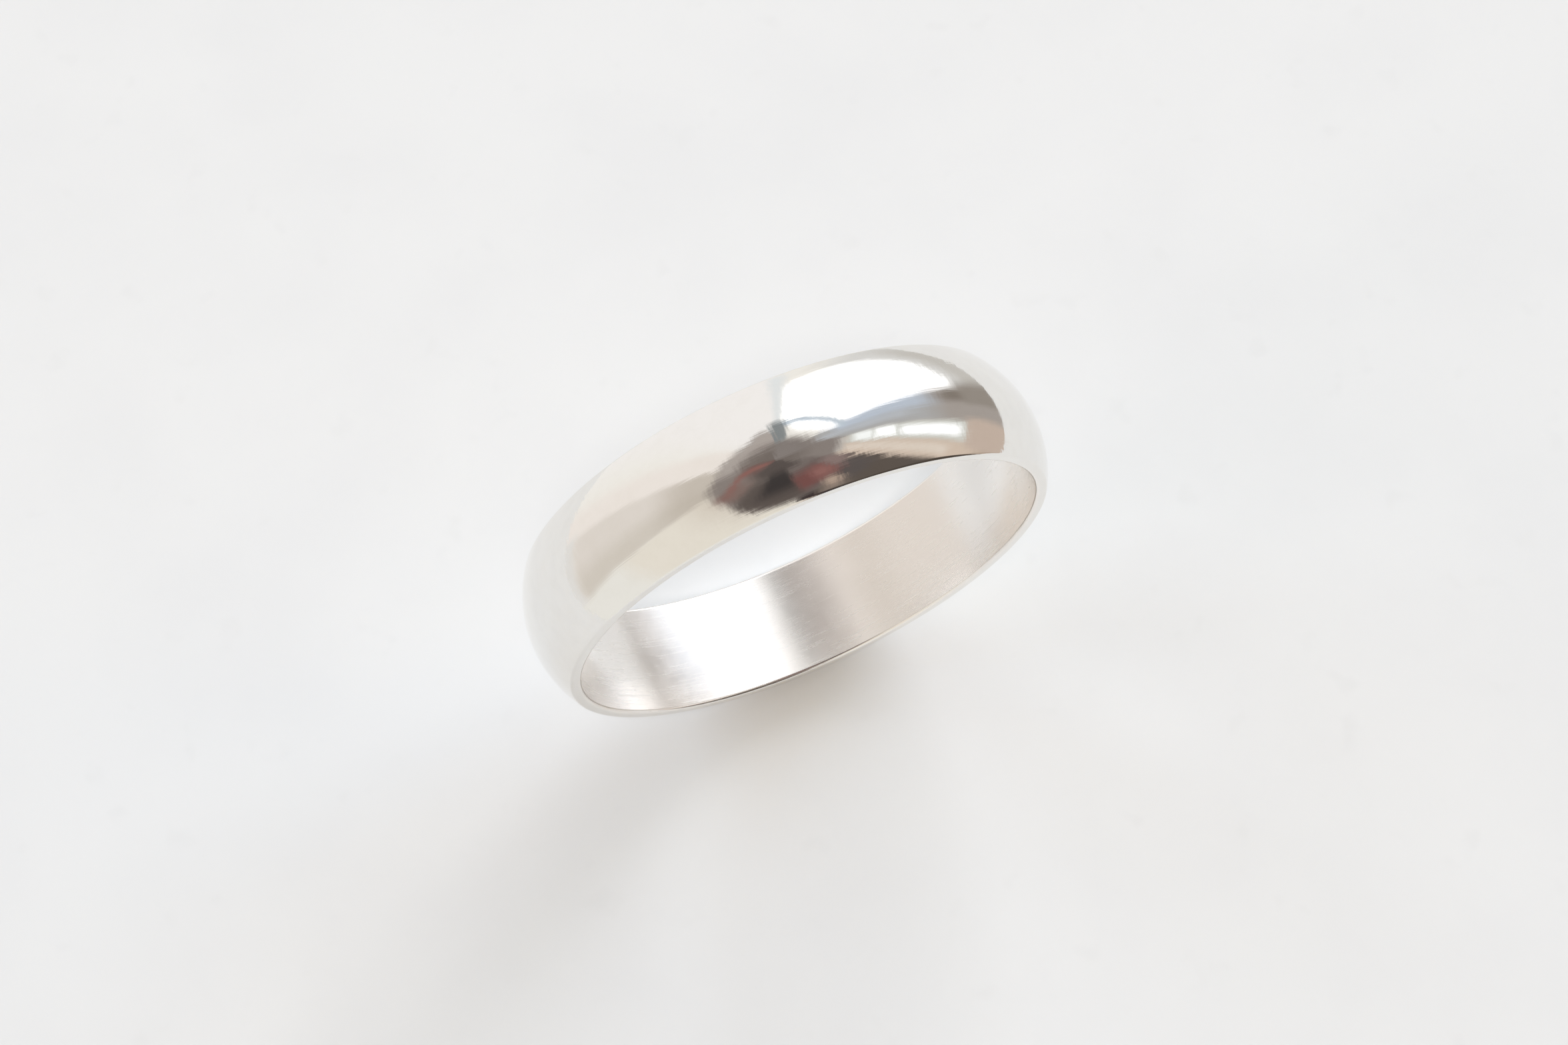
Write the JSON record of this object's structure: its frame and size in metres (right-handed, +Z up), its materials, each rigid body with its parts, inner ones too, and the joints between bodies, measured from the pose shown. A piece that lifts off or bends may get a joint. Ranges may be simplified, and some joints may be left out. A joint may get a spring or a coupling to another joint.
{
  "type": "wedding band",
  "caption": "Plain half-round finger ring in polished silver, bent from half-round wire and closed by a soldered butt joint.",
  "frame": {"origin": "centre of the finger bore, midway between the two sides", "axes": "+Y along the bore; +Z up, with the band standing on its rim; +X to the right for a viewer who looks along +Y"},
  "size_m": [0.0222, 0.005, 0.0222],
  "materials": {
    "polished_silver": "hand-polished sterling silver with fine hairline scratches",
    "silver_solder": "polished hard silver solder, a shade duller than the band"
  },
  "bodies": {
    "root": {"band": "polished_silver", "solder_seam": "silver_solder"}
  },
  "joints": []
}
